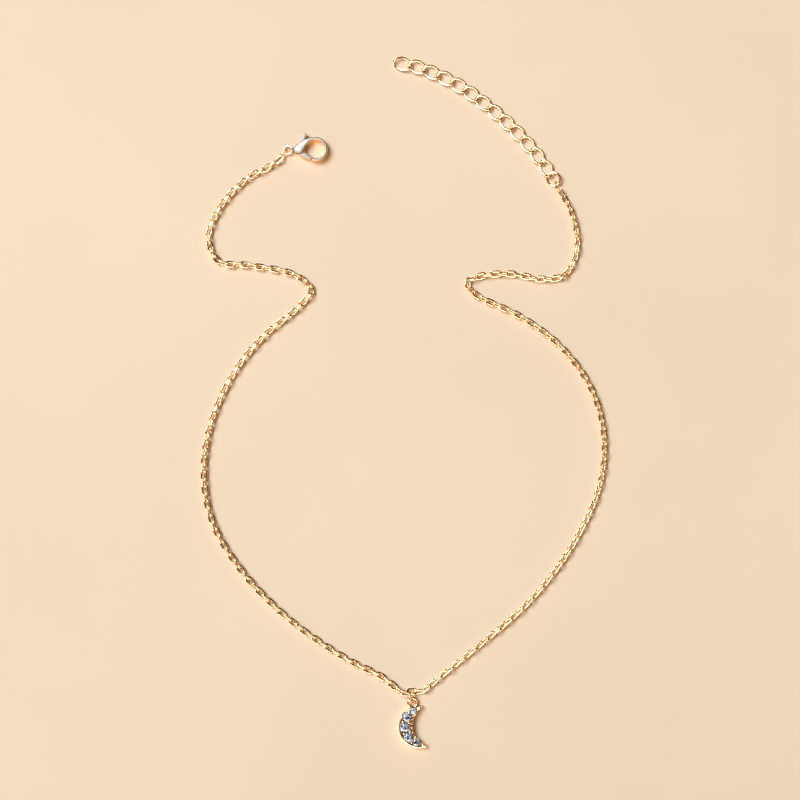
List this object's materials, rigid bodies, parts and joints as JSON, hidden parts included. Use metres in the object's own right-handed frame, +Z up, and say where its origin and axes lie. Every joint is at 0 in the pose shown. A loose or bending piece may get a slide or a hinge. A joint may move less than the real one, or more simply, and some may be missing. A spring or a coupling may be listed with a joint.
{
  "type": "pendant necklace",
  "caption": "Fine cable chain necklace with a stone-set crescent pendant on a ring and loop, a sprung lobster clasp, and an extender chain of twisted oval links, lying flat.",
  "frame": {"origin": "middle of the outline of the laid-out necklace, on the surface it lies on", "axes": "+Z up from the surface, +Y from the pendant towards the clasp and the extender, +X towards the side that carries the extender"},
  "size_m": [0.1018, 0.1727, 0.0033],
  "materials": {
    "gold": "polished, pale gold plating",
    "pale_gold": "satin cast, pale gold plating",
    "steel": "spring wire",
    "crystal": "faceted clear stone"
  },
  "bodies": {
    "centre_link": {"centre_link": "gold"},
    "left_chain_01": {"left_chain_01": "gold"},
    "left_chain_02": {"left_chain_02": "gold"},
    "left_chain_03": {"left_chain_03": "gold"},
    "left_chain_04": {"left_chain_04": "gold"},
    "left_chain_05": {"left_chain_05": "gold"},
    "left_chain_06": {"left_chain_06": "gold"},
    "left_chain_07": {"left_chain_07": "gold"},
    "left_chain_08": {"left_chain_08": "gold"},
    "left_chain_09": {"left_chain_09": "gold"},
    "left_chain_10": {"left_chain_10": "gold"},
    "left_chain_11": {"left_chain_11": "gold"},
    "left_chain_12": {"left_chain_12": "gold"},
    "left_chain_13": {"left_chain_13": "gold"},
    "left_chain_14": {"left_chain_14": "gold"},
    "left_chain_15": {"left_chain_15": "gold"},
    "left_end_link": {"left_end_link": "gold"},
    "right_chain_01": {"right_chain_01": "gold"},
    "right_chain_02": {"right_chain_02": "gold"},
    "right_chain_03": {"right_chain_03": "gold"},
    "right_chain_04": {"right_chain_04": "gold"},
    "right_chain_05": {"right_chain_05": "gold"},
    "right_chain_06": {"right_chain_06": "gold"},
    "right_chain_07": {"right_chain_07": "gold"},
    "right_chain_08": {"right_chain_08": "gold"},
    "right_chain_09": {"right_chain_09": "gold"},
    "right_chain_10": {"right_chain_10": "gold"},
    "right_chain_11": {"right_chain_11": "gold"},
    "right_chain_12": {"right_chain_12": "gold"},
    "right_chain_13": {"right_chain_13": "gold"},
    "right_chain_14": {"right_chain_14": "gold"},
    "right_end_link": {"right_end_link": "gold"},
    "clasp_ring": {"clasp_ring": "gold"},
    "clasp": {"clasp_body": "pale_gold", "clasp_rivet": "pale_gold", "clasp_spring": "steel"},
    "clasp_lever": {"clasp_lever": "pale_gold"},
    "extender_ring": {"extender_ring": "gold"},
    "extender_link_01": {"extender_link_01": "gold"},
    "extender_link_02": {"extender_link_02": "gold"},
    "extender_link_03": {"extender_link_03": "gold"},
    "extender_link_04": {"extender_link_04": "gold"},
    "extender_link_05": {"extender_link_05": "gold"},
    "extender_link_06": {"extender_link_06": "gold"},
    "extender_link_07": {"extender_link_07": "gold"},
    "extender_link_08": {"extender_link_08": "gold"},
    "extender_link_09": {"extender_link_09": "gold"},
    "extender_link_10": {"extender_link_10": "gold"},
    "extender_link_11": {"extender_link_11": "gold"},
    "extender_link_12": {"extender_link_12": "gold"},
    "extender_link_13": {"extender_link_13": "gold"},
    "bail_ring": {"bail_ring": "gold"},
    "crescent": {"crescent_setting": "gold", "stone_1": "crystal", "stone_2": "crystal", "stone_3": "crystal", "stone_4": "crystal", "stone_5": "crystal"}
  },
  "joints": [
    {"name": "bail_ring_swing", "type": "hinge", "parent": "centre_link", "child": "bail_ring", "pos_m": [0.0023, -0.07225, 0.0008], "axis": [0, 0, 1], "range_deg": [-20, 20]},
    {"name": "crescent_flap", "type": "hinge", "parent": "bail_ring", "child": "crescent", "pos_m": [0.00228, -0.07386, 0.00095], "axis": [-1, 0, 0], "range_deg": [0, 40]},
    {"name": "clasp_ring_turn", "type": "hinge", "parent": "left_end_link", "child": "clasp_ring", "pos_m": [-0.02951, 0.06235, 0.00077], "axis": [0, 0, 1], "range_deg": [0, 25]},
    {"name": "clasp_lift", "type": "hinge", "parent": "clasp_ring", "child": "clasp", "pos_m": [-0.02796, 0.06318, 0.0011], "axis": [0, -1, 0], "range_deg": [0, 60]},
    {"name": "clasp_lever_hinge", "type": "hinge", "parent": "clasp", "child": "clasp_lever", "pos_m": [-0.02526, 0.06358, 0.0011], "axis": [0, 0, 1], "range_deg": [0, 25], "stiffness_Nm_per_rad": 0.01, "springref_deg": -11.46, "deforming": ["clasp_spring"]},
    {"name": "extender_ring_lift", "type": "hinge", "parent": "right_end_link", "child": "extender_ring", "pos_m": [0.03832, 0.05444, 0.00073], "axis": [0.8842, 0.4671, 0], "range_deg": [0, 20]},
    {"name": "left_end_link_lift", "type": "hinge", "parent": "left_chain_15", "child": "left_end_link", "pos_m": [-0.0305, 0.06149, 0.0008], "axis": [0.657, -0.7539, 0], "range_deg": [0, 12]},
    {"name": "right_end_link_turn", "type": "hinge", "parent": "right_chain_14", "child": "right_end_link", "pos_m": [0.03894, 0.05326, 0.0008], "axis": [0, 0, 1], "range_deg": [-20, 20]},
    {"name": "extender_link_01_turn", "type": "hinge", "parent": "extender_ring", "child": "extender_link_01", "pos_m": [0.03683, 0.05692, 0.00073], "axis": [0, 0, 1], "range_deg": [-20, 10]},
    {"name": "extender_link_02_lift", "type": "hinge", "parent": "extender_link_01", "child": "extender_link_02", "pos_m": [0.03472, 0.06008, 0.00073], "axis": [0.8005, 0.5994, 0], "range_deg": [0, 20]},
    {"name": "extender_link_03_turn", "type": "hinge", "parent": "extender_link_02", "child": "extender_link_03", "pos_m": [0.03242, 0.06311, 0.00073], "axis": [0, 0, -1], "range_deg": [-25, 25]},
    {"name": "extender_link_04_lift", "type": "hinge", "parent": "extender_link_03", "child": "extender_link_04", "pos_m": [0.02993, 0.06598, 0.00073], "axis": [0.7194, 0.6946, 0], "range_deg": [0, 20]},
    {"name": "extender_link_05_turn", "type": "hinge", "parent": "extender_link_04", "child": "extender_link_05", "pos_m": [0.02729, 0.06871, 0.00073], "axis": [0, 0, 1], "range_deg": [-25, 25]},
    {"name": "extender_link_06_lift", "type": "hinge", "parent": "extender_link_05", "child": "extender_link_06", "pos_m": [0.02449, 0.07128, 0.00073], "axis": [0.6453, 0.7639, 0], "range_deg": [0, 20]},
    {"name": "extender_link_07_turn", "type": "hinge", "parent": "extender_link_06", "child": "extender_link_07", "pos_m": [0.02159, 0.07374, 0.00073], "axis": [0, 0, -1], "range_deg": [-25, 25]},
    {"name": "extender_link_08_lift", "type": "hinge", "parent": "extender_link_07", "child": "extender_link_08", "pos_m": [0.0186, 0.07608, 0.00073], "axis": [0.5749, 0.8182, 0], "range_deg": [0, 20]},
    {"name": "extender_link_09_turn", "type": "hinge", "parent": "extender_link_08", "child": "extender_link_09", "pos_m": [0.01549, 0.07827, 0.00073], "axis": [0, 0, 1], "range_deg": [-25, 25]},
    {"name": "extender_link_10_lift", "type": "hinge", "parent": "extender_link_09", "child": "extender_link_10", "pos_m": [0.01222, 0.08021, 0.00073], "axis": [0.4365, 0.8997, 0], "range_deg": [0, 20]},
    {"name": "extender_link_11_turn", "type": "hinge", "parent": "extender_link_10", "child": "extender_link_11", "pos_m": [0.0088, 0.08187, 0.00073], "axis": [0, 0, -1], "range_deg": [-25, 25]},
    {"name": "extender_link_12_lift", "type": "hinge", "parent": "extender_link_11", "child": "extender_link_12", "pos_m": [0.00528, 0.0833, 0.00073], "axis": [0.3034, 0.9529, 0], "range_deg": [0, 20]},
    {"name": "extender_link_13_turn", "type": "hinge", "parent": "extender_link_12", "child": "extender_link_13", "pos_m": [0.00163, 0.08438, 0.00073], "axis": [0, 0, 1], "range_deg": [-25, 25]},
    {"name": "left_chain_01_turn", "type": "hinge", "parent": "centre_link", "child": "left_chain_01", "pos_m": [0.00121, -0.07257, 0.0008], "axis": [0, 0, 1], "range_deg": [-12, 12]},
    {"name": "left_chain_02_lift", "type": "hinge", "parent": "left_chain_01", "child": "left_chain_02", "pos_m": [-0.00982, -0.06639, 0.0008], "axis": [0.4082, 0.9129, 0], "range_deg": [0, 12]},
    {"name": "left_chain_03_turn", "type": "hinge", "parent": "left_chain_02", "child": "left_chain_03", "pos_m": [-0.021, -0.05986, 0.0008], "axis": [0, 0, -1], "range_deg": [-15, 15]},
    {"name": "left_chain_04_lift", "type": "hinge", "parent": "left_chain_03", "child": "left_chain_04", "pos_m": [-0.03124, -0.05193, 0.0008], "axis": [0.6718, 0.7407, 0], "range_deg": [0, 12]},
    {"name": "left_chain_05_turn", "type": "hinge", "parent": "left_chain_04", "child": "left_chain_05", "pos_m": [-0.04013, -0.04251, 0.0008], "axis": [0, 0, 1], "range_deg": [-15, 15]},
    {"name": "left_chain_06_lift", "type": "hinge", "parent": "left_chain_05", "child": "left_chain_06", "pos_m": [-0.04702, -0.03157, 0.0008], "axis": [0.9125, 0.4091, 0], "range_deg": [0, 12]},
    {"name": "left_chain_07_turn", "type": "hinge", "parent": "left_chain_06", "child": "left_chain_07", "pos_m": [-0.04985, -0.019, 0.0008], "axis": [0, 0, -1], "range_deg": [-20, 20]},
    {"name": "left_chain_08_lift", "type": "hinge", "parent": "left_chain_07", "child": "left_chain_08", "pos_m": [-0.04841, -0.00617, 0.0008], "axis": [0.9659, -0.2587, 0], "range_deg": [0, 12]},
    {"name": "left_chain_09_turn", "type": "hinge", "parent": "left_chain_08", "child": "left_chain_09", "pos_m": [-0.0434, 0.00574, 0.0008], "axis": [0, 0, 1], "range_deg": [-20, 20]},
    {"name": "left_chain_10_lift", "type": "hinge", "parent": "left_chain_09", "child": "left_chain_10", "pos_m": [-0.03551, 0.01597, 0.0008], "axis": [0.7162, -0.6979, 0], "range_deg": [0, 12]},
    {"name": "left_chain_11_turn", "type": "hinge", "parent": "left_chain_10", "child": "left_chain_11", "pos_m": [-0.0257, 0.02441, 0.0008], "axis": [0, 0, -1], "range_deg": [-20, 20]},
    {"name": "left_chain_12_lift", "type": "hinge", "parent": "left_chain_11", "child": "left_chain_12", "pos_m": [-0.02961, 0.03275, 0.0008], "axis": [0.2564, 0.9666, 0], "range_deg": [0, 12]},
    {"name": "left_chain_13_turn", "type": "hinge", "parent": "left_chain_12", "child": "left_chain_13", "pos_m": [-0.04242, 0.0345, 0.0008], "axis": [0, 0, 1], "range_deg": [-20, 20]},
    {"name": "left_chain_14_lift", "type": "hinge", "parent": "left_chain_13", "child": "left_chain_14", "pos_m": [-0.04832, 0.04365, 0.0008], "axis": [0.9594, -0.282, 0], "range_deg": [0, 12]},
    {"name": "left_chain_15_turn", "type": "hinge", "parent": "left_chain_14", "child": "left_chain_15", "pos_m": [-0.04115, 0.05427, 0.0008], "axis": [0, 0, -1], "range_deg": [-20, 20]},
    {"name": "right_chain_01_turn", "type": "hinge", "parent": "centre_link", "child": "right_chain_01", "pos_m": [0.00304, -0.07236, 0.0008], "axis": [0, 0, -1], "range_deg": [-12, 12]},
    {"name": "right_chain_02_lift", "type": "hinge", "parent": "right_chain_01", "child": "right_chain_02", "pos_m": [0.01375, -0.06493, 0.0008], "axis": [0.6275, -0.7786, 0], "range_deg": [0, 12]},
    {"name": "right_chain_03_turn", "type": "hinge", "parent": "right_chain_02", "child": "right_chain_03", "pos_m": [0.02403, -0.05655, 0.0008], "axis": [0, 0, 1], "range_deg": [-15, 15]},
    {"name": "right_chain_04_lift", "type": "hinge", "parent": "right_chain_03", "child": "right_chain_04", "pos_m": [0.03359, -0.0474, 0.0008], "axis": [0.7519, -0.6593, 0], "range_deg": [0, 12]},
    {"name": "right_chain_05_turn", "type": "hinge", "parent": "right_chain_04", "child": "right_chain_05", "pos_m": [0.04156, -0.03682, 0.0008], "axis": [0, 0, -1], "range_deg": [-12, 12]},
    {"name": "right_chain_06_lift", "type": "hinge", "parent": "right_chain_05", "child": "right_chain_06", "pos_m": [0.04761, -0.02505, 0.0008], "axis": [0.9303, -0.3668, 0], "range_deg": [0, 12]},
    {"name": "right_chain_07_turn", "type": "hinge", "parent": "right_chain_06", "child": "right_chain_07", "pos_m": [0.05028, -0.01214, 0.0008], "axis": [0, 0, 1], "range_deg": [-12, 12]},
    {"name": "right_chain_08_lift", "type": "hinge", "parent": "right_chain_07", "child": "right_chain_08", "pos_m": [0.04808, 0.00085, 0.0008], "axis": [0.9355, 0.3533, 0], "range_deg": [0, 12]},
    {"name": "right_chain_09_turn", "type": "hinge", "parent": "right_chain_08", "child": "right_chain_09", "pos_m": [0.04113, 0.01205, 0.0008], "axis": [0, 0, -1], "range_deg": [-15, 15]},
    {"name": "right_chain_10_lift", "type": "hinge", "parent": "right_chain_09", "child": "right_chain_10", "pos_m": [0.03094, 0.02045, 0.0008], "axis": [0.5371, 0.8435, 0], "range_deg": [0, 12]},
    {"name": "right_chain_11_turn", "type": "hinge", "parent": "right_chain_10", "child": "right_chain_11", "pos_m": [0.01909, 0.02635, 0.0008], "axis": [0, 0, 1], "range_deg": [-20, 20]},
    {"name": "right_chain_12_lift", "type": "hinge", "parent": "right_chain_11", "child": "right_chain_12", "pos_m": [0.02401, 0.03218, 0.0008], "axis": [0.02, -0.9998, 0], "range_deg": [0, 12]},
    {"name": "right_chain_13_turn", "type": "hinge", "parent": "right_chain_12", "child": "right_chain_13", "pos_m": [0.03715, 0.03096, 0.0008], "axis": [0, 0, -1], "range_deg": [-20, 20]},
    {"name": "right_chain_14_lift", "type": "hinge", "parent": "right_chain_13", "child": "right_chain_14", "pos_m": [0.04351, 0.04099, 0.0008], "axis": [0.9975, 0.0707, 0], "range_deg": [0, 12]}
  ]
}
